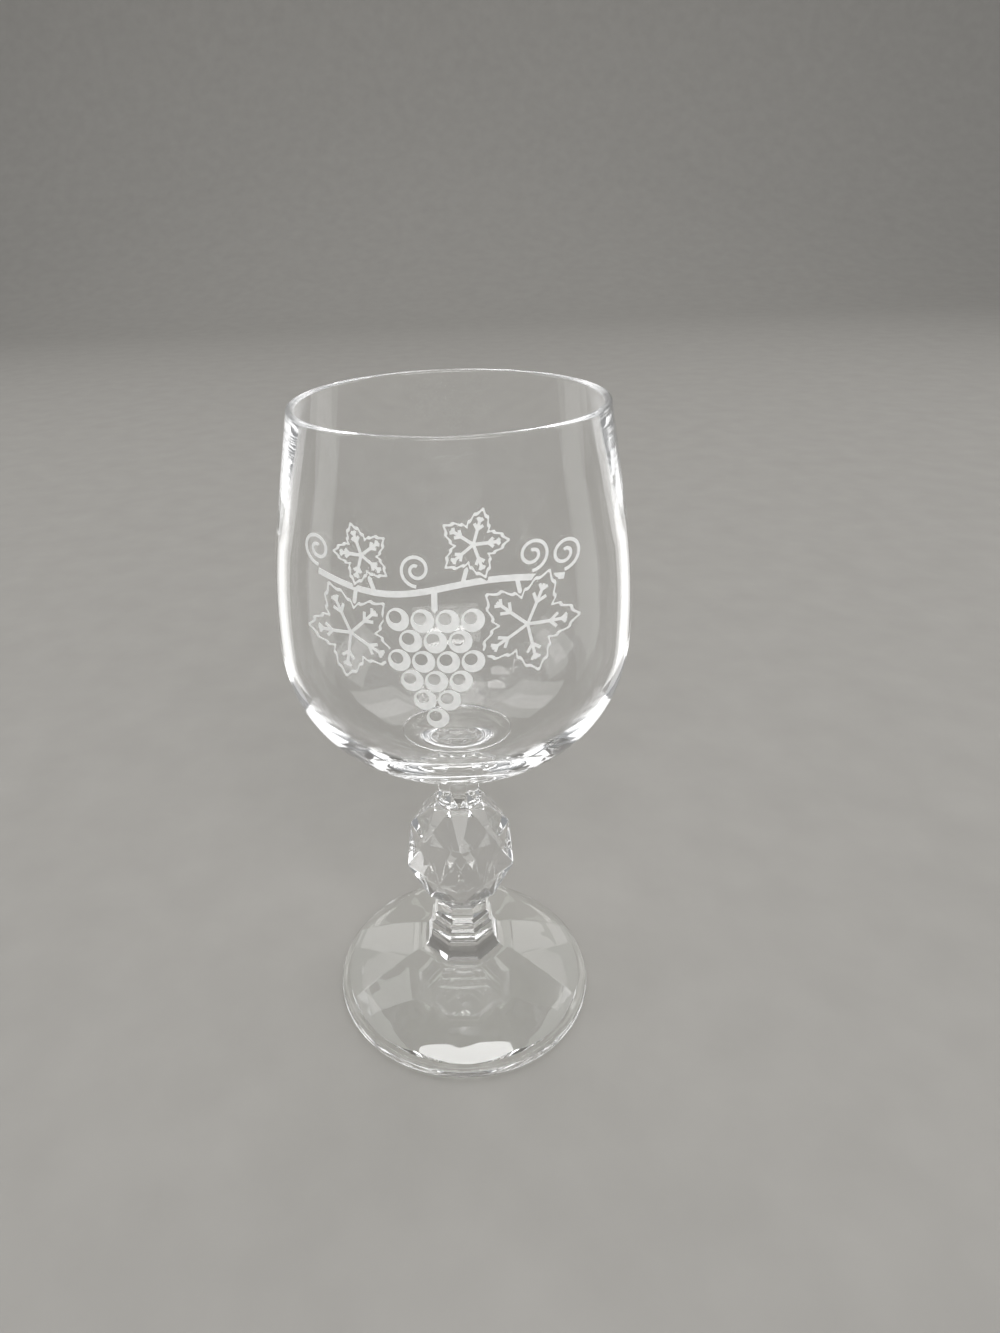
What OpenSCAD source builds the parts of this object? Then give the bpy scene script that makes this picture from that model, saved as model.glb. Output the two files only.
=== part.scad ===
// Small stemmed sherry glass: a blown bowl fused to a pressed stem with a cut ball,
// a stepped collar and a panelled foot, with a white enamel vine on the bowl's front.
// Millimetres. The origin is the middle of the resting ring, +Z is up, the front is -Y.

/* [Bowl] */
// Height of the bowl from its lowest point to the rim
bowl_h = 64.2; // [50:0.1:90]
// Outer diameter at the rim
rim_d = 50; // [44:0.1:58]
// Outer diameter at the widest circle
belly_d = 60.4; // [58:0.1:72]
// Height of the widest circle above the bowl's lowest point
belly_h = 26.3; // [20:0.1:34]
// Fullness of the lower half: 1 is an ellipse, less is squarer
belly_round = 0.9; // [0.7:0.02:1.1]
// Radius of the curve from the widest circle up into the straight wall
shoulder_r = 105; // [40:1:160]
// Thickness of the wall at the rim
rim_wall = 1.2; // [0.8:0.1:2]
// Thickness of the wall at the widest circle
belly_wall = 1.4; // [1:0.1:2.4]
// Thickness of the bottom, on the axis
bottom_wall = 3; // [2:0.1:9]

/* [Neck] */
// Height from the ball's top to the bowl's lowest point
neck_h = 12; // [8:0.1:20]
// Width of the neck across its eight flats
neck_w = 7.8; // [6:0.1:11]
// Diameter of the pad that is fused to the bowl
pad_d = 21.6; // [14:0.1:26]
// Thickness of the pad's edge against the bowl
pad_edge = 0.7; // [0.2:0.05:1]
// Radius of the hollow curve from the neck out to the pad
flare_r = 7; // [3:0.1:9]

/* [Ball] */
// Height of the ball between the neck and the collar
ball_h = 24.5; // [18:0.1:32]
// Diameter over the corners of the widest ring
ball_d = 22.8; // [18:0.1:28]
// Height of the widest ring above the ball's bottom
ball_wide_h = 11; // [7:0.1:14]
// Diameter over the corners of the upper ring
ball_upper_d = 19.6; // [15:0.1:24]
// Depth of the upper ring below the ball's top
ball_upper_drop = 6.2; // [4:0.1:9]
// Diameter over the corners of the lower ring
ball_lower_d = 17.6; // [13:0.1:21]
// Height of the lower ring above the ball's bottom
ball_lower_h = 4.2; // [2:0.1:5]
// Diameter over the corners of the flat top and bottom
ball_table_d = 9.6; // [8:0.1:12]

/* [Collar] */
// Width across the flats where the collar meets the ball
collar_top_w = 9; // [7:0.1:11]
// Width across the flats of each tier, from the top down
collar_tier_w = [10, 11.2, 12.4]; // [8:0.1:16]
// Height of each tier, from the top down
collar_tier_h = [3.5, 2.1, 2.5]; // [1:0.1:6]
// Height of the slope at the top of each tier
collar_slope = 0.5; // [0.2:0.1:1]

/* [Foot] */
// Diameter of the foot
foot_d = 53.9; // [44:0.1:70]
// Height of the foot up to the collar
foot_h = 16.2; // [12:0.1:24]
// Height of the round edge
edge_h = 2.4; // [1.6:0.1:4]
// Width of the round band outside the panels
edge_band = 1.9; // [1:0.1:4]
// Width across the flats at the top, under the collar
foot_top_w = 12.8; // [9:0.1:16]
// Width across the flats where the hollow curve under the collar meets the panels
foot_waist_w = 19; // [15:0.1:26]
// Depth of that meeting below the collar
foot_waist_drop = 4.6; // [2:0.1:7]
// Bulge of each panel above the straight line from the turn to the edge
panel_bulge = 0.7; // [0:0.1:2]
// Diameter of the hollow under the foot
hollow_d = 46; // [36:0.1:50]
// Depth of the hollow under the foot
hollow_h = 1.8; // [0.8:0.1:4]

/* [Enamel] */
// Thickness of the enamel film
film_t = 0.12; // [0.08:0.02:0.3]
// Width of the enamel lines
line_w = 0.42; // [0.3:0.02:0.9]
// Height of the branch's middle above the bowl's lowest point
branch_h = 44.5; // [40:0.5:50]
// Turn of the design round the bowl, to the right of the front
design_turn = -4.5; // [-30:0.5:30]
// Half the width that the branch spans
branch_half_w = 17.5; // [12:0.5:20]
// Height of the branch's wave
branch_wave = 1; // [0.2:0.1:3]
// Reach of a leaf from its middle to the tip of a lobe
leaf_r = 7.6; // [5:0.1:10]
// Length of a leaf's stalk
stalk_l = 2.8; // [2:0.1:6]
// Drop of the top row of grapes below the branch
bunch_drop = 4.4; // [3:0.1:8]
// Diameter of one grape
grape_d = 3.3; // [2.6:0.1:5]
// Space between neighbouring grapes
grape_gap = 0.2; // [0.1:0.1:1]
// Outer radius of a tendril's curl
curl_r = 2.3; // [1.5:0.1:4]

/* [Hidden] */

// Round faces
$fn = 128;
// Straight pieces in each curved stretch of a profile
curve_steps = 20;
lip_steps = 10;
spread_steps = 6;
// Sides of the pressed neck, collar and foot, and of the cut ball
flats = 8;
cuts = 8;
// How far a cutting shape runs past what it cuts
overrun = 1;
// Half a turn of a flat, which brings a flat to the front
flat_turn = 180 / flats;
// Across corners from across flats
corner_share = 1 / cos(flat_turn);

// How far down the lower half of the bowl the film may lie
film_low_share = 0.7;

// Enamel design: places along the branch are shares of its half width
branch_swing = 200;
branch_line_share = 2;
stalk_line_share = 1.4;
leaf_lobes = 5;
leaf_teeth = 25;
leaf_steps = 150;
lobe_power = 0.6;
lobe_root_share = 0.6;
tooth_share = 0.07;
vein_share = 0.72;
side_vein_share = 0.3;
side_vein_places_share = [0.4, 0.62];
side_vein_angle = 42;
leaf_place_shares = [-0.66, 0.62, 0.2, -0.5];
leaf_turns = [170, 193, -16, 20];
leaf_size_shares = [1, 1.04, 0.66, 0.6];
bunch_place_share = -0.02;
grape_rows = [4, 3, 4, 3, 2, 1];
shine_place_share = [-0.1, 0.1];
shine_share = 0.56;
curl_place_shares = [-1, 1, -0.16, 0.74];
curl_turn = 560;
curl_inner_share = 0.2;

// Levels from the table up
collar_z = foot_h;
ball_z = collar_z + collar_tier_h[0] + collar_tier_h[1] + collar_tier_h[2];
neck_z = ball_z + ball_h;
bowl_z = neck_z + neck_h;
rim_z = bowl_z + bowl_h;
belly_z = bowl_z + belly_h;

// Bowl radii
rim_r = rim_d / 2;
belly_r = belly_d / 2;
lip_r = rim_wall / 2;
lip_z = rim_z - lip_r;
rise = lip_z - belly_z;

// The largest radius whose curve still starts below the rim
function whole_side_r(drop) = (drop * drop + rise * rise) / (2 * drop);

// Angle at which the straight wall leaves the shoulder curve
function leave_angle(top_r, wide_r, curve_r) =
    let (run = top_r - wide_r + curve_r)
    atan2(rise, run) - acos(min(1, curve_r / norm([run, rise])));

// Wall from the rim down to the widest circle
function upper_wall(top_r, wide_r, wanted_r) =
    let (curve_r = min(wanted_r, whole_side_r(wide_r - top_r)))
    let (start = leave_angle(top_r, wide_r, curve_r))
    concat([[top_r, lip_z]],
           [for (i = [0:curve_steps])
            let (a = start * (1 - i / curve_steps))
            [wide_r - curve_r + curve_r * cos(a), belly_z + curve_r * sin(a)]]);

// Wall from just below the widest circle down to the axis
function lower_wall(wide_r, depth) =
    [for (i = [1:curve_steps])
     let (a = 90 * i / curve_steps)
     i == curve_steps ? [0, belly_z - depth]
                      : [wide_r * pow(cos(a), belly_round), belly_z - depth * pow(sin(a), belly_round)]];

// Level of the bowl's outside at a radius below the widest circle
function lower_level(r) =
    belly_z - belly_h * pow(1 - pow(r / belly_r, 2 / belly_round), belly_round / 2);

outer_wall = concat(upper_wall(rim_r, belly_r, shoulder_r), lower_wall(belly_r, belly_h));
inner_wall = concat(upper_wall(rim_r - rim_wall, belly_r - belly_wall, shoulder_r - belly_wall),
                    lower_wall(belly_r - belly_wall, belly_h - bottom_wall));

// Half circle over the rim, from the inside to the outside
lip = [for (i = [1:lip_steps - 1])
       let (a = 180 - 180 * i / lip_steps)
       [rim_r - lip_r + lip_r * cos(a), lip_z + lip_r * sin(a)]];

function reversed(list) = [for (i = [len(list) - 1:-1:0]) list[i]];

// Prism with a flat to the front, from one level up to another
module flat_prism(width, from, to) {
    translate([0, 0, from])
        rotate(flat_turn)
            cylinder(h = to - from, d = width * corner_share, $fn = flats);
}

module bowl_outside() {
    rotate_extrude() polygon(concat(outer_wall, [[0, lip_z]]));
}

module bowl() {
    color("whitesmoke", 0.4) {
        rotate_extrude() polygon(concat(outer_wall, reversed(inner_wall), lip));
    }
}

// Flat-sided neck that spreads through a hollow curve into the pad under the bowl
module neck() {
    pad_r = pad_d / 2;
    pad_z = lower_level(pad_r) - pad_edge;
    pad_top = belly_z;
    spread_r = min(flare_r, pad_z - neck_z, pad_r);
    color("whitesmoke", 0.4) {
        difference() {
            union() {
                flat_prism(neck_w, neck_z, bowl_z + overrun);
                rotate_extrude() difference() {
                    translate([0, pad_z - spread_r]) square([pad_r, pad_top - pad_z + spread_r]);
                    translate([pad_r, pad_z - spread_r]) circle(spread_r);
                }
            }
            bowl_outside();
        }
    }
}

// One ring of corners of the cut ball, from the front towards +X
function corner_ring(width, level, turn) =
    [for (i = [0:cuts - 1])
     let (a = turn + i * 360 / cuts)
     [width / 2 * sin(a), -width / 2 * cos(a), level]];

// Number of a corner, where rings are counted from the bottom up
function corner(ring, i) = ring * cuts + (i + cuts) % cuts;

// Two triangles at place i between a ring and the next one up, which is turned by half a cut
function band_faces(ring, i) =
    ring % 2 == 0
    ? [[corner(ring + 1, i), corner(ring, i), corner(ring, i - 1)],
       [corner(ring + 1, i), corner(ring + 1, i + 1), corner(ring, i)]]
    : [[corner(ring + 1, i), corner(ring, i + 1), corner(ring, i)],
       [corner(ring + 1, i - 1), corner(ring + 1, i), corner(ring, i)]];

// Ball cut with rows of flat three-sided facets
module ball_knop() {
    half_cut = 180 / cuts;
    rings = [corner_ring(ball_table_d, ball_z, half_cut),
             corner_ring(ball_lower_d, ball_z + ball_lower_h, 0),
             corner_ring(ball_d, ball_z + ball_wide_h, half_cut),
             corner_ring(ball_upper_d, neck_z - ball_upper_drop, 0),
             corner_ring(ball_table_d, neck_z, half_cut)];
    last = len(rings) - 1;
    sides = [for (ring = [0:last - 1], i = [0:cuts - 1]) each band_faces(ring, i)];
    caps = [[for (i = [0:cuts - 1]) corner(0, i)], [for (i = [cuts - 1:-1:0]) corner(last, i)]];
    color("whitesmoke", 0.4)
        polyhedron([for (ring = rings) each ring], concat(sides, caps));
}

// Solid with eight alike sides, from [half width, level] points listed from the bottom up
module panelled(profile) {
    outline = concat(profile, [for (p = reversed(profile)) [-p[0], p[1]]]);
    reach = foot_d + overrun;
    intersection_for (i = [0:flats / 2 - 1])
        rotate(i * 360 / flats)
            rotate([90, 0, 0])
                linear_extrude(reach, center = true) polygon(outline);
}

// Three stepped tiers with sloping tops
module collar() {
    lower_top = collar_z + collar_tier_h[2];
    middle_top = lower_top + collar_tier_h[1];
    color("whitesmoke", 0.4)
        panelled([[collar_tier_w[2] / 2, collar_z],
                  [collar_tier_w[2] / 2, lower_top - collar_slope],
                  [collar_tier_w[1] / 2, lower_top],
                  [collar_tier_w[1] / 2, middle_top - collar_slope],
                  [collar_tier_w[0] / 2, middle_top],
                  [collar_tier_w[0] / 2, ball_z - collar_slope],
                  [collar_top_w / 2, ball_z]]);
}

// Disc with a round edge, eight panels on top and a hollow underneath
module foot() {
    foot_r = foot_d / 2;
    edge_r = edge_h / 2;
    panel_r = foot_r - edge_band;
    waist_z = foot_h - foot_waist_drop;
    waist_r = foot_waist_w / 2;
    top_r = foot_top_w / 2;
    spread = [for (i = [1:spread_steps])
              let (a = 90 * i / spread_steps)
              [waist_r - (waist_r - top_r) * sin(a), waist_z + foot_waist_drop * (1 - cos(a))]];
    panel = [for (i = [0:curve_steps / 2])
             let (t = 2 * i / curve_steps)
             [panel_r + (waist_r - panel_r) * t,
              edge_h + (waist_z - edge_h) * t + panel_bulge * 4 * t * (1 - t)]];
    dome_r = (hollow_d * hollow_d / 4 + hollow_h * hollow_h) / (2 * hollow_h);
    color("whitesmoke", 0.4) {
        difference() {
            union() {
                rotate_extrude() {
                    square([foot_r - edge_r, edge_h]);
                    translate([foot_r - edge_r, edge_r]) intersection() {
                        circle(edge_r);
                        translate([0, -edge_r]) square([edge_r, edge_h]);
                    }
                }
                intersection() {
                    panelled(concat([[panel_r, hollow_h]], panel, spread));
                    cylinder(h = foot_h, r = panel_r);
                }
            }
            translate([0, 0, hollow_h - dome_r]) sphere(dome_r, $fn = 256);
        }
    }
}

// Lays a flat design, drawn round the branch's middle, on the front of the bowl as a thin film
module enamel() {
    film_wall = [for (p = outer_wall) if (p[1] > belly_z - belly_h * film_low_share) p];
    film_skin = [for (p = film_wall) [p[0] + film_t, p[1]]];
    color("white") rotate(design_turn) intersection() {
        rotate_extrude() polygon(concat(film_wall, reversed(film_skin)));
        rotate([90, 0, 0])
            linear_extrude(belly_r + film_t + overrun)
                translate([0, bowl_z + branch_h]) children();
    }
}

// Line of even width along a list of points
module line(points, width) {
    last = len(points) - 1;
    sides = [for (i = [0:last])
             let (d = points[min(i + 1, last)] - points[max(i - 1, 0)])
             [-d[1], d[0]] / norm(d) * width / 2];
    polygon(concat([for (i = [0:last]) points[i] + sides[i]],
                   [for (i = [last:-1:0]) points[i] - sides[i]]));
}

function branch_point(t) = [branch_half_w * t, branch_wave * sin(branch_swing * t)];

// Branch with the stalks of its leaves and grapes, which passes behind both
module enamel_branch() {
    enamel() difference() {
        union() {
            line([for (i = [-curve_steps / 2:curve_steps / 2]) branch_point(2 * i / curve_steps)],
                 line_w * branch_line_share);
            for (i = [0:len(leaf_turns) - 1])
                line([branch_point(leaf_place_shares[i]), leaf_middle(i)], line_w * stalk_line_share);
            line([branch_point(bunch_place_share), bunch_top()], line_w * branch_line_share);
        }
        leaf_masks(len(leaf_turns));
        bunch_mask();
    }
}

// Outline of a five-lobed, toothed leaf with its stalk notch at the bottom
function leaf_points(reach, inset) =
    [for (i = [0:leaf_steps - 1])
     let (a = 360 * i / leaf_steps)
     let (lobe = pow(1 - abs(sin(leaf_lobes / 2 * (a - 90))), lobe_power))
     let (tooth = tooth_share * abs(sin(leaf_teeth / 2 * (a - 90))))
     (reach * (lobe_root_share + (1 - lobe_root_share) * lobe - tooth) - inset) * [cos(a), sin(a)]];

module vein(length) {
    translate([0, -line_w / 2]) square([length, line_w]);
}

// Leaf outline with a vein in each lobe and side veins off it
module leaf(reach) {
    difference() {
        polygon(leaf_points(reach, 0));
        polygon(leaf_points(reach, line_w));
    }
    intersection() {
        polygon(leaf_points(reach, 0));
        for (i = [0:leaf_lobes - 1])
            rotate(90 + i * 360 / leaf_lobes) {
                vein(reach * vein_share);
                for (place = side_vein_places_share, side = [-1, 1])
                    translate([reach * place, 0])
                        rotate(side * side_vein_angle) vein(reach * side_vein_share * (1 - place));
            }
    }
}

function leaf_reach(i) = leaf_r * leaf_size_shares[i];

// Middle of a leaf, whose notch lies a stalk's length from the branch
function leaf_middle(i) =
    let (notch = (lobe_root_share - tooth_share) * leaf_reach(i))
    branch_point(leaf_place_shares[i]) + (stalk_l + notch) * [-sin(leaf_turns[i]), cos(leaf_turns[i])];

module place_leaf(i) {
    translate(leaf_middle(i)) rotate(leaf_turns[i]) children();
}

// Area that the first leaves of the list cover, with a line's width of clear glass round it
module leaf_masks(count) {
    for (i = [0:1:count - 1])
        place_leaf(i) polygon(leaf_points(leaf_reach(i), -line_w));
}

// Leaves that lie behind the ones listed before them and behind the grapes
module enamel_leaves() {
    enamel() for (i = [0:len(leaf_turns) - 1])
        difference() {
            place_leaf(i) leaf(leaf_reach(i));
            leaf_masks(i);
            bunch_mask();
        }
}

function bunch_top() = branch_point(bunch_place_share) - [0, bunch_drop];

// Copies its child to each grape of the bunch, in close rows
module bunch() {
    pitch = grape_d + grape_gap;
    row_step = pitch * sin(60);
    translate(bunch_top())
        for (row = [0:len(grape_rows) - 1], i = [0:grape_rows[row] - 1])
            translate([(i - (grape_rows[row] - 1) / 2) * pitch, -row * row_step]) children();
}

// Area that the grapes cover, with a line's width of clear glass round it
module bunch_mask() {
    bunch() circle(d = grape_d + 2 * line_w, $fn = 24);
}

// Grapes, each with a clear spot of shine towards its upper left
module enamel_grapes() {
    enamel() bunch() difference() {
        circle(d = grape_d, $fn = 40);
        translate(shine_place_share * grape_d) circle(d = grape_d * shine_share, $fn = 24);
    }
}

// Curl that winds up and in from its outer end, which is at the origin
function curl_points() =
    [for (i = [0:2 * curve_steps])
     let (t = i / (2 * curve_steps))
     let (reach = curl_r * (1 - (1 - curl_inner_share) * t))
     [0, curl_r] + reach * [sin(curl_turn * t), -cos(curl_turn * t)]];

// Tendrils that stand just clear of the branch, the left one of each pair wound the other way
module enamel_tendrils() {
    clear = line_w * (branch_line_share + 2) / 2;
    enamel() difference() {
        for (i = [0:len(curl_place_shares) - 1])
            translate(branch_point(curl_place_shares[i]) + [0, clear])
                mirror([(i + 1) % 2, 0]) line(curl_points(), line_w);
        leaf_masks(len(leaf_turns));
    }
}

bowl();
neck();
ball_knop();
collar();
foot();
enamel_branch();
enamel_leaves();
enamel_grapes();
enamel_tendrils();
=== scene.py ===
"""Small stemmed sherry glass with a white enamel vine, dressed for a studio render. Metres, +Z up."""
import math
import bmesh
import bpy
from mathutils import Matrix, Vector


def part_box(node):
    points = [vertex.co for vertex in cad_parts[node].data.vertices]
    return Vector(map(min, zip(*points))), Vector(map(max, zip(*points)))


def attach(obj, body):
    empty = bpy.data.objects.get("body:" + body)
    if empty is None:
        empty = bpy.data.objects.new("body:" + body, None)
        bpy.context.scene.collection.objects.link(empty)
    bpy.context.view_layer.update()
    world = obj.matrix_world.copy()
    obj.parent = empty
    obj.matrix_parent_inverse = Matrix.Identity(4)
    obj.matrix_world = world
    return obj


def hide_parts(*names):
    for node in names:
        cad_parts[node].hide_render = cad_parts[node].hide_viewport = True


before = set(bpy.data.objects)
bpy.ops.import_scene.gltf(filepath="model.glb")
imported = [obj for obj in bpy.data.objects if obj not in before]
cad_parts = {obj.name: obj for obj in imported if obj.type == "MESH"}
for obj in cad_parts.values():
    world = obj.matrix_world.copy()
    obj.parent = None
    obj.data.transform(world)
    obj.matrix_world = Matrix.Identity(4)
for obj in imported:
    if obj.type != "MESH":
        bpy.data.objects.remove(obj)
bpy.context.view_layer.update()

MM = 0.001

# Sizes that the frame gives
bowl_low, bowl_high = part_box("bowl")
neck_low, neck_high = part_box("neck")
ball_low, ball_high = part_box("ball_knop")
collar_low, collar_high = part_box("collar")
foot_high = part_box("foot")[1]
RIM_Z = bowl_high[2]
BOWL_Z = bowl_low[2]
BELLY_R = bowl_high[0]
NECK_Z = neck_low[2]
PAD_R = neck_high[0]

# Bowl sizes
RIM_R = 25 * MM
RIM_WALL = 1.2 * MM
BELLY_H = 26.3 * MM
BELLY_WALL = 1.4 * MM
BOTTOM_WALL = 3 * MM
SHOULDER_R = 105 * MM
BELLY_ROUND = 0.9
BELLY_Z = BOWL_Z + BELLY_H
LIP_R = RIM_WALL / 2
LIP_Z = RIM_Z - LIP_R

# Stem and foot sizes
FLATS = 8
FLAT_TURN = 2 * math.pi / FLATS
NECK_W = 7.8 * MM
NECK_CORE_R = NECK_W / 4
PAD_EDGE = 0.7 * MM
PAD_ROUND_FROM = 0.9 * PAD_R
FLARE_R = 7 * MM
CUT_ROUND = 0.12 * MM
RIDGE_ROUND = 0.3 * MM
RIDGE_LOW_Z = 2 * MM

# Mesh fineness
AROUND = 192
CURVE_STEPS = 48
LIP_STEPS = 14
ROUND_STEPS = 3
SWEEP_STEPS = 16
BOWL_CREASE = math.radians(40)
NECK_CREASE = math.radians(20)
SMOOTH_ANGLE = math.radians(14)
FACET_ANGLE = math.radians(0.5)

# Slack in the tests that find joints and edges
WELD = 0.001 * MM
NECK_END_SLACK = 0.01 * MM
JOINT_SLACK = 0.02 * MM
TIER_SLACK = 0.05 * MM
RIDGE_SLACK = math.radians(0.5)
LEVEL_NORMAL = 0.99
UPWARD_NORMAL = 0.5

# Camera, from the photograph's 1000 by 1333 frame
PHOTO_W, PHOTO_H = 1000, 1333
FOCAL_PX = 864.6
CENTRE_X_PX = 437.0
CAMERA_PLACE = Vector((0, -136.78, 152.37)) * MM
YAW = math.radians(-1.379)
PITCH = math.radians(28.583)
ROLL = math.radians(2.25)
SENSOR = 36
NEAR_CLIP = 10 * MM
LIGHT_PATHS = 512

# Paper sweep
FLOOR_GAP = 0.05 * MM
SWEEP_HALF_W = 3
SWEEP_FRONT, SWEEP_BACK = -2.5, 1.1
SWEEP_BEND = 0.6
SWEEP_TOP = 2.4

# Panels round the glass: name, bearing in degrees, level, width, height, watts
PANEL_OUT = 0.9
PANELS = (("left", -95, 0.49, 0.7, 0.36, 1.3),
          ("right", 98, 0.49, 0.7, 0.36, 1.3),
          ("back_right", 150, 0.85, 0.42, 0.6, 1.2),
          ("back_left", -146, 0.85, 0.42, 0.6, 1.2))

# Boxes above and in front: name, place, width, height, watts
BOXES = (("softbox_top", (0.05, 0.2, 0.95), 0.5, 0.35, 0.7),
         ("softbox_front", (0.1, -0.8, 0.72), 1, 0.58, 5),
         ("strip_front", (0.08, -0.62, 0.86), 0.5, 0.1, 1.2))

# Wash of light on the backdrop
WASH_PLACE, WASH_TARGET = (0, 0.5, 2), (0, 1.6, 0.4)
WASH_W, WASH_H = 2, 0.4
WASH_POWER = 12

# Cards behind the glass at its sides
CARD_OUT = 105 * MM
CARD_BACK = 85 * MM
CARD_W, CARD_H = 80 * MM, 90 * MM
CARD_POWERS = (0.016, 0.019)

# World light
WORLD_COLOUR = (0.95, 0.97, 1, 1)
WORLD_STRENGTH = 0.32


def new_object(name, data):
    """A new object in the scene with a mesh, a lamp or a camera."""
    obj = bpy.data.objects.new(name, data)
    bpy.context.scene.collection.objects.link(obj)
    return obj


def shade(mesh, angle):
    mesh.shade_smooth()
    mesh.set_sharp_from_angle(angle=angle)


def link(tree, source, target):
    tree.links.new(source, target)


# Materials

GLASS_IOR = 1.52
CLEAR = (0.996, 0.998, 0.996)
LAMP_TINT = (0.71, 0.72, 0.71)
NOISE_LOW, NOISE_HIGH = 0.35, 0.7
ENAMEL_DARK, ENAMEL_LIGHT = (0.88, 0.88, 0.86), (0.97, 0.97, 0.95)
PAPER_DARK, PAPER_LIGHT = (0.335, 0.323, 0.302), (0.39, 0.376, 0.353)
PAPER_ROUGHNESS = 0.9


def new_material(name):
    material = bpy.data.materials.new(name)
    material.use_nodes = True
    tree = material.node_tree
    return material, tree, tree.nodes["Principled BSDF"]


def noise(tree, scale, detail, stretch=None):
    """A noise texture in object space, stretched along an axis if asked."""
    coords = tree.nodes.new("ShaderNodeTexCoord")
    mapping = tree.nodes.new("ShaderNodeMapping")
    if stretch:
        mapping.inputs["Scale"].default_value = stretch
    texture = tree.nodes.new("ShaderNodeTexNoise")
    texture.inputs["Scale"].default_value = scale
    texture.inputs["Detail"].default_value = detail
    link(tree, coords.outputs["Object"], mapping.inputs["Vector"])
    link(tree, mapping.outputs["Vector"], texture.inputs["Vector"])
    return texture


def bump(tree, texture, strength, distance, shader):
    node = tree.nodes.new("ShaderNodeBump")
    node.inputs["Strength"].default_value = strength
    node.inputs["Distance"].default_value = distance
    link(tree, texture.outputs["Fac"], node.inputs["Height"])
    link(tree, node.outputs["Normal"], shader.inputs["Normal"])


def ramp(tree, texture, low, high):
    """Maps a texture to a value between low and high."""
    node = tree.nodes.new("ShaderNodeMapRange")
    node.inputs["From Min"].default_value = NOISE_LOW
    node.inputs["From Max"].default_value = NOISE_HIGH
    node.inputs["To Min"].default_value = low
    node.inputs["To Max"].default_value = high
    link(tree, texture.outputs["Fac"], node.inputs["Value"])
    return node.outputs["Result"]


def tones(tree, texture, dark, light, start=0, end=1):
    """Maps a texture to colours between a dark and a light tone."""
    node = tree.nodes.new("ShaderNodeValToRGB")
    first, last = node.color_ramp.elements
    first.position = start
    first.color = (*dark, 1)
    last.position = end
    last.color = (*light, 1)
    link(tree, texture.outputs["Fac"], node.inputs["Fac"])
    return node.outputs["Color"]


def glass(name, wave_scale, wave_depth, haze, stretch=None):
    """Clear glass with slow waves in its surface and a trace of haze."""
    material, tree, shader = new_material(name)
    shader.inputs["Base Color"].default_value = (*CLEAR, 1)
    shader.inputs["Transmission Weight"].default_value = 1
    shader.inputs["IOR"].default_value = GLASS_IOR
    waves = noise(tree, wave_scale, detail=1, stretch=stretch)
    bump(tree, waves, 1, wave_depth, shader)
    link(tree, ramp(tree, noise(tree, scale=180, detail=3), 0, haze), shader.inputs["Roughness"])
    let_lamps_through(tree, shader)
    return material


def let_lamps_through(tree, shader):
    """Glass throws only a light shadow: a lamp's light crosses each surface, somewhat dimmed."""
    path = tree.nodes.new("ShaderNodeLightPath")
    clear = tree.nodes.new("ShaderNodeBsdfTransparent")
    clear.inputs["Color"].default_value = (*LAMP_TINT, 1)
    mix = tree.nodes.new("ShaderNodeMixShader")
    link(tree, path.outputs["Is Shadow Ray"], mix.inputs["Fac"])
    link(tree, shader.outputs["BSDF"], mix.inputs[1])
    link(tree, clear.outputs["BSDF"], mix.inputs[2])
    link(tree, mix.outputs["Shader"], tree.nodes["Material Output"].inputs["Surface"])


def joint_material():
    """The inside of a fused joint, which light crosses unbent."""
    material, tree, shader = new_material("fused_joint")
    tree.nodes.remove(shader)
    clear = tree.nodes.new("ShaderNodeBsdfTransparent")
    link(tree, clear.outputs["BSDF"], tree.nodes["Material Output"].inputs["Surface"])
    return material


def enamel_material():
    """White fired enamel: slightly uneven in tone, with a grainy satin surface."""
    material, tree, shader = new_material("white_enamel")
    mottle = noise(tree, scale=900, detail=3)
    colour = tones(tree, mottle, ENAMEL_DARK, ENAMEL_LIGHT, start=0.3, end=0.65)
    link(tree, colour, shader.inputs["Base Color"])
    satin = ramp(tree, noise(tree, scale=2500, detail=2), low=0.35, high=0.55)
    link(tree, satin, shader.inputs["Roughness"])
    bump(tree, noise(tree, scale=4000, detail=2), strength=0.25, distance=0.05 * MM, shader=shader)
    return material


BOWL_GLASS = glass("bowl_glass", wave_scale=45, wave_depth=0.05 * MM, haze=0.02, stretch=(1, 1, 0.35))
STEM_GLASS = glass("stem_glass", wave_scale=220, wave_depth=0.02 * MM, haze=0.006)
FOOT_GLASS = glass("foot_glass", wave_scale=140, wave_depth=0.05 * MM, haze=0.006)
JOINT = joint_material()
ENAMEL = enamel_material()


# Bowl

def upper_wall(top_r, wide_r, wanted_r):
    """Points from the rim down the straight wall and the shoulder curve to the widest circle."""
    rise = LIP_Z - BELLY_Z
    drop = wide_r - top_r
    curve_r = min(wanted_r, (drop * drop + rise * rise) / (2 * drop))
    run = curve_r - drop
    start = math.atan2(rise, run) - math.acos(min(1, curve_r / math.hypot(run, rise)))
    points = [(top_r, LIP_Z)]
    for i in range(CURVE_STEPS + 1):
        a = start * (1 - i / CURVE_STEPS)
        points.append((wide_r - curve_r + curve_r * math.cos(a), BELLY_Z + curve_r * math.sin(a)))
    return points


def lower_wall(wide_r, depth):
    """Points from below the widest circle down to the axis."""
    points = []
    for i in range(1, CURVE_STEPS):
        a = math.pi / 2 * i / CURVE_STEPS
        r = wide_r * math.cos(a) ** BELLY_ROUND
        points.append((r, BELLY_Z - depth * math.sin(a) ** BELLY_ROUND))
    return points + [(0, BELLY_Z - depth)]


def lower_level(r):
    """Level of the bowl's outside at a radius below the widest circle."""
    share = 1 - (r / BELLY_R) ** (2 / BELLY_ROUND)
    return BELLY_Z - BELLY_H * share ** (BELLY_ROUND / 2)


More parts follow.
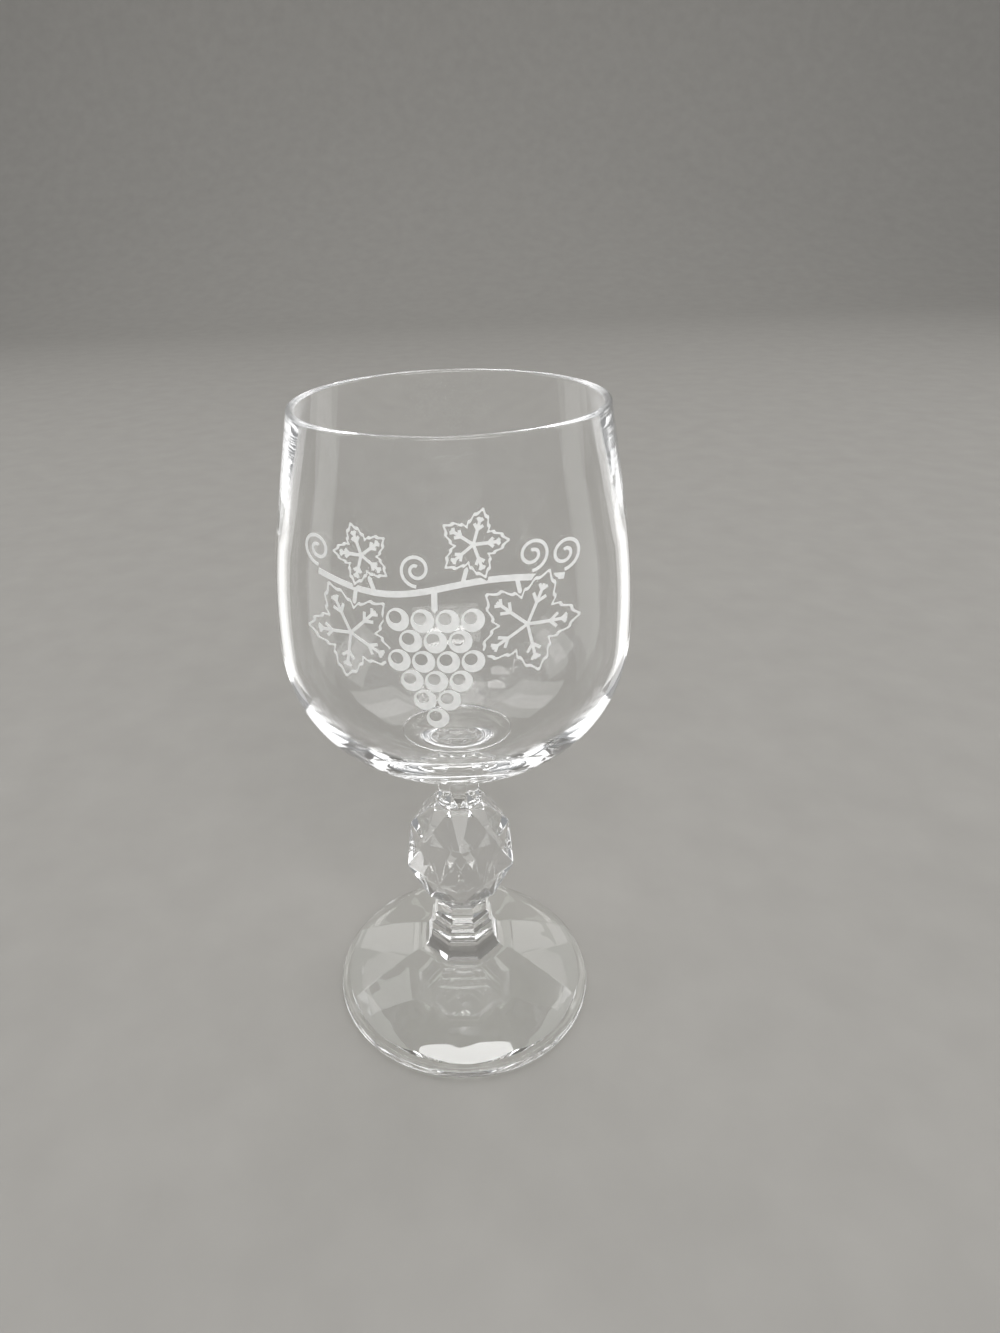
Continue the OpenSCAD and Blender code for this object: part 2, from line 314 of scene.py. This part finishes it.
UNDER_WALL = sorted(lower_wall(BELLY_R, BELLY_H) + [(PAD_R, lower_level(PAD_R))], reverse=True)
OUTER_WALL = upper_wall(RIM_R, BELLY_R, SHOULDER_R) + UNDER_WALL
INNER_WALL = (upper_wall(RIM_R - RIM_WALL, BELLY_R - BELLY_WALL, SHOULDER_R - BELLY_WALL)
              + lower_wall(BELLY_R - BELLY_WALL, BELLY_H - BOTTOM_WALL))


def lathe(name, outline, radius_at=None):
    """A closed solid from an outline of (radius, height) points that starts and ends on the axis."""
    work = bmesh.new()
    rings = []
    for r, z in outline:
        if r == 0:
            rings.append([work.verts.new((0, 0, z))])
            continue
        ring = []
        for i in range(AROUND):
            a = 2 * math.pi * i / AROUND
            reach = radius_at(r, a) if radius_at else r
            ring.append(work.verts.new((reach * math.sin(a), -reach * math.cos(a), z)))
        rings.append(ring)
    for low, high in zip(rings, rings[1:]):
        for i in range(AROUND):
            j = (i + 1) % AROUND
            if len(low) == 1:
                work.faces.new((low[0], high[i], high[j]))
            elif len(high) == 1:
                work.faces.new((low[j], low[i], high[0]))
            else:
                work.faces.new((low[j], low[i], high[i], high[j]))
    bmesh.ops.recalc_face_normals(work, faces=work.faces)
    mesh = bpy.data.meshes.new(name)
    work.to_mesh(mesh)
    work.free()
    return new_object(name, mesh)


def dress(obj, material, node, joint_test):
    """Gives a piece its glass, opens its fused joints to light and puts it in its node's place."""
    mesh = obj.data
    mesh.materials.clear()
    mesh.materials.append(material)
    mesh.materials.append(JOINT)
    for face in mesh.polygons:
        if joint_test(face):
            face.material_index = 1
    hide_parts(node)
    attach(obj, "root")


def make_bowl():
    lip = []
    for i in range(1, LIP_STEPS):
        a = math.pi * i / LIP_STEPS
        lip.append((RIM_R - LIP_R + LIP_R * math.cos(a), LIP_Z + LIP_R * math.sin(a)))
    obj = lathe("bowl_blown", OUTER_WALL[::-1] + lip + INNER_WALL)
    shade(obj.data, BOWL_CREASE)
    outer_tip = BOWL_Z + BOTTOM_WALL / 2

    def on_pad(face):
        c = face.center
        return math.hypot(c.x, c.y) < PAD_R and c.z < outer_tip
    dress(obj, BOWL_GLASS, "bowl", on_pad)


# Stem and foot

def octagon_reach(width, a):
    """Distance from the axis to an eight-sided prism's side, with a flat to the front."""
    off = (a + FLAT_TURN / 2) % FLAT_TURN - FLAT_TURN / 2
    return width / 2 / math.cos(off)


def make_neck():
    pad_z = lower_level(PAD_R) - PAD_EDGE
    outline = [(0, NECK_Z), (NECK_CORE_R, NECK_Z), (NECK_W / 2, NECK_Z)]
    start_z = pad_z - FLARE_R
    for i in range(1, CURVE_STEPS + 1):
        a = math.pi / 2 * i / CURVE_STEPS
        outline.append((PAD_R - FLARE_R * math.cos(a), start_z + FLARE_R * math.sin(a)))
    outline += [p for p in UNDER_WALL if p[0] <= PAD_R]

    def reach(r, a):
        if NECK_CORE_R < r < PAD_ROUND_FROM:
            return max(r, octagon_reach(NECK_W, a))
        return r
    obj = lathe("neck_pressed", outline, reach)
    shade(obj.data, NECK_CREASE)

    def on_joint(face):
        at_end = face.center.z < NECK_Z + NECK_END_SLACK
        under_bowl = face.normal.z > UPWARD_NORMAL
        return at_end or under_bowl
    dress(obj, STEM_GLASS, "neck", on_joint)


def copy_node(node, name, round_r, is_round, angle=SMOOTH_ANGLE):
    """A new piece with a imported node's mesh, its pressed edges rounded as a mould leaves them."""
    work = bmesh.new()
    work.from_mesh(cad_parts[node].data)
    bmesh.ops.remove_doubles(work, verts=work.verts, dist=WELD)
    bmesh.ops.dissolve_limit(work, angle_limit=FACET_ANGLE, verts=work.verts, edges=work.edges)
    sharp = [e for e in work.edges if e.is_convex and e.calc_face_angle(0) > SMOOTH_ANGLE]
    edges = [e for e in sharp if is_round(e)]
    made = bmesh.ops.bevel(work, geom=edges, offset=round_r, offset_type="OFFSET",
                           segments=ROUND_STEPS, profile=0.5, affect="EDGES", clamp_overlap=True)
    for face in work.faces:
        face.smooth = True
    for edge in work.edges:
        edge.smooth = edge.calc_face_angle(0) < angle
    for face in made["faces"]:
        for edge in face.edges:
            edge.smooth = False
    mesh = bpy.data.meshes.new(name)
    work.to_mesh(mesh)
    work.free()
    return new_object(name, mesh)


def any_edge(edge):
    return True


def between(low, high):
    """A test for edges that lie clear of two levels."""
    def test(edge):
        return all(low + TIER_SLACK < v.co.z < high - TIER_SLACK for v in edge.verts)
    return test


def on_ridge(edge):
    """Whether an edge runs along one of the ridges between the foot's panels."""
    for v in edge.verts:
        off = (math.atan2(v.co.x, -v.co.y) + FLAT_TURN) % FLAT_TURN - FLAT_TURN / 2
        if abs(off) > RIDGE_SLACK or v.co.z < RIDGE_LOW_Z:
            return False
    return True


def flat_at(*levels):
    """A test for faces that lie level at one of the heights."""
    def test(face):
        near = any(abs(face.center.z - z) < JOINT_SLACK for z in levels)
        return near and abs(face.normal.z) > LEVEL_NORMAL
    return test


def make_stem():
    ball = copy_node("ball_knop", "ball_cut", CUT_ROUND, any_edge, FACET_ANGLE)
    dress(ball, STEM_GLASS, "ball_knop", flat_at(ball_low[2], ball_high[2]))
    low, high = collar_low[2], collar_high[2]
    collar = copy_node("collar", "collar_stepped", CUT_ROUND, between(low, high), FACET_ANGLE)
    dress(collar, STEM_GLASS, "collar", flat_at(low, high))
    foot = copy_node("foot", "foot_panelled", RIDGE_ROUND, on_ridge)
    dress(foot, FOOT_GLASS, "foot", flat_at(foot_high[2]))


# Enamel

def dress_enamel():
    for node in ("enamel_branch", "enamel_leaves", "enamel_grapes", "enamel_tendrils"):
        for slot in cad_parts[node].material_slots:
            slot.material = ENAMEL


# Studio

def floor_material():
    """Matt pale paper with a faint grain."""
    material, tree, shader = new_material("studio_paper")
    grain = noise(tree, scale=60, detail=4)
    link(tree, tones(tree, grain, PAPER_DARK, PAPER_LIGHT), shader.inputs["Base Color"])
    shader.inputs["Roughness"].default_value = PAPER_ROUGHNESS
    shader.inputs["Specular IOR Level"].default_value = 0
    return material


def make_floor():
    """A paper sweep: flat under the glass, then curving up behind it."""
    profile = [(SWEEP_FRONT, -FLOOR_GAP), (SWEEP_BACK, -FLOOR_GAP)]
    for i in range(1, SWEEP_STEPS + 1):
        a = math.pi / 2 * i / SWEEP_STEPS
        profile.append((SWEEP_BACK + SWEEP_BEND * math.sin(a), SWEEP_BEND - SWEEP_BEND * math.cos(a)))
    profile.append((SWEEP_BACK + SWEEP_BEND, SWEEP_TOP))
    verts = [(x, y, z) for y, z in profile for x in (-SWEEP_HALF_W, SWEEP_HALF_W)]
    faces = [(2 * i, 2 * i + 1, 2 * i + 3, 2 * i + 2) for i in range(len(profile) - 1)]
    mesh = bpy.data.meshes.new("studio_sweep")
    mesh.from_pydata(verts, [], faces)
    mesh.shade_smooth()
    floor = new_object("studio_sweep", mesh)
    mesh.materials.append(floor_material())


def area_light(name, place, target, width, height, power, lights_paper=True):
    """A flat lamp that faces a target and doesn't show in the picture itself."""
    lamp = bpy.data.lights.new(name, "AREA")
    lamp.shape = "RECTANGLE"
    lamp.size = width
    lamp.size_y = height
    lamp.energy = power
    obj = new_object(name, lamp)
    obj.location = place
    obj.rotation_euler = (Vector(target) - Vector(place)).to_track_quat("-Z", "Y").to_euler()
    obj.visible_camera = False
    obj.visible_diffuse = lights_paper


def make_lights():
    """Soft panels and boxes with dark gaps between them, a wash on the backdrop, and a card
    behind each side of the glass that shows as a bright band along the bowl."""
    middle = (0, 0, RIM_Z / 2)
    for name, degrees, up, width, height, power in PANELS:
        a = math.radians(degrees)
        place = (PANEL_OUT * math.sin(a), -PANEL_OUT * math.cos(a), up)
        area_light("panel_" + name, place, middle, width, height, power)
    for name, place, width, height, power in BOXES:
        area_light(name, place, middle, width, height, power)
    area_light("backdrop_wash", WASH_PLACE, WASH_TARGET, WASH_W, WASH_H, WASH_POWER)
    across = (0, CARD_BACK, CARD_H / 2)
    for name, out, power in zip(("left", "right"), (-CARD_OUT, CARD_OUT), CARD_POWERS):
        place = (out, CARD_BACK, CARD_H / 2)
        area_light("card_" + name, place, across, CARD_W, CARD_H, power, lights_paper=False)


def make_world():
    world = bpy.data.worlds.new("studio_world")
    bpy.context.scene.world = world
    world.use_nodes = True
    background = world.node_tree.nodes["Background"]
    background.inputs["Color"].default_value = WORLD_COLOUR
    background.inputs["Strength"].default_value = WORLD_STRENGTH


def make_camera():
    ahead = math.cos(PITCH)
    forward = Vector((math.sin(YAW) * ahead, math.cos(YAW) * ahead, -math.sin(PITCH)))
    level = Vector((math.cos(YAW), -math.sin(YAW), 0))
    down = forward.cross(level)
    right = math.cos(ROLL) * level + math.sin(ROLL) * down
    up = math.sin(ROLL) * level - math.cos(ROLL) * down
    turn = Matrix((right, up, -forward)).transposed()
    lens = bpy.data.cameras.new("camera")
    lens.sensor_width = SENSOR
    lens.lens = SENSOR * FOCAL_PX / PHOTO_H
    lens.shift_x = (PHOTO_W / 2 - CENTRE_X_PX) / PHOTO_H
    lens.clip_start = NEAR_CLIP
    camera = new_object("camera", lens)
    camera.matrix_world = Matrix.Translation(CAMERA_PLACE) @ turn.to_4x4()
    bpy.context.scene.camera = camera


def allow_deep_light_paths():
    """Thick glass bends light many times before it comes out."""
    cycles = bpy.context.scene.cycles
    cycles.max_bounces = LIGHT_PATHS
    cycles.transmission_bounces = LIGHT_PATHS
    cycles.transparent_max_bounces = LIGHT_PATHS
    cycles.glossy_bounces = LIGHT_PATHS // 2


make_bowl()
make_neck()
make_stem()
dress_enamel()
make_floor()
make_lights()
make_world()
make_camera()
allow_deep_light_paths()
bpy.context.scene.view_settings.view_transform = "Standard"
